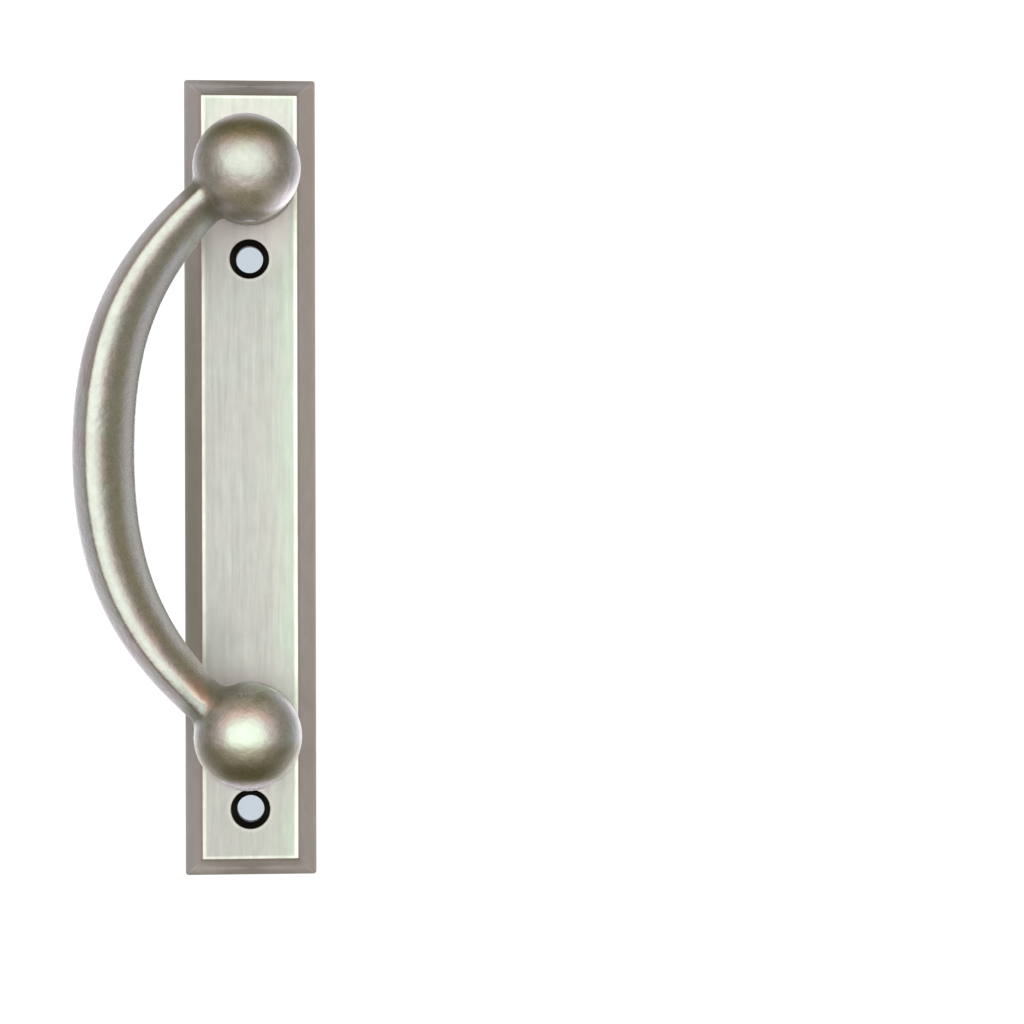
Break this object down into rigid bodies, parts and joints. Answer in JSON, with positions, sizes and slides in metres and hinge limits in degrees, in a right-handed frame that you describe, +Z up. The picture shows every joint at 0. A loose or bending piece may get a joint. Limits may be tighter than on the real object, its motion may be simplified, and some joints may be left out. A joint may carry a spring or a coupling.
{
  "type": "sliding patio door handle",
  "caption": "Pull handle for a sliding patio door: a curved cast bow with a ball at each end, screwed from behind to a long back plate with bevelled edges.",
  "frame": {"origin": "middle of the back plate's flat back face, where it lies on the door", "axes": "+Z up along the plate, +Y into the door, -Y towards the hand, +X to the right seen from the front; the bow is on the -X side"},
  "size_m": [0.071, 0.0459, 0.2424],
  "materials": {
    "plate_nickel": "satin nickel, brushed lengthwise, darker on the bevels",
    "pull_nickel": "cast and tumbled satin nickel, slightly mottled",
    "screw_steel": "zinc plated"
  },
  "bodies": {
    "root": {"back_plate": "plate_nickel", "bow_pull": "pull_nickel", "upper_fixing_screw": "screw_steel", "lower_fixing_screw": "screw_steel"}
  },
  "joints": []
}
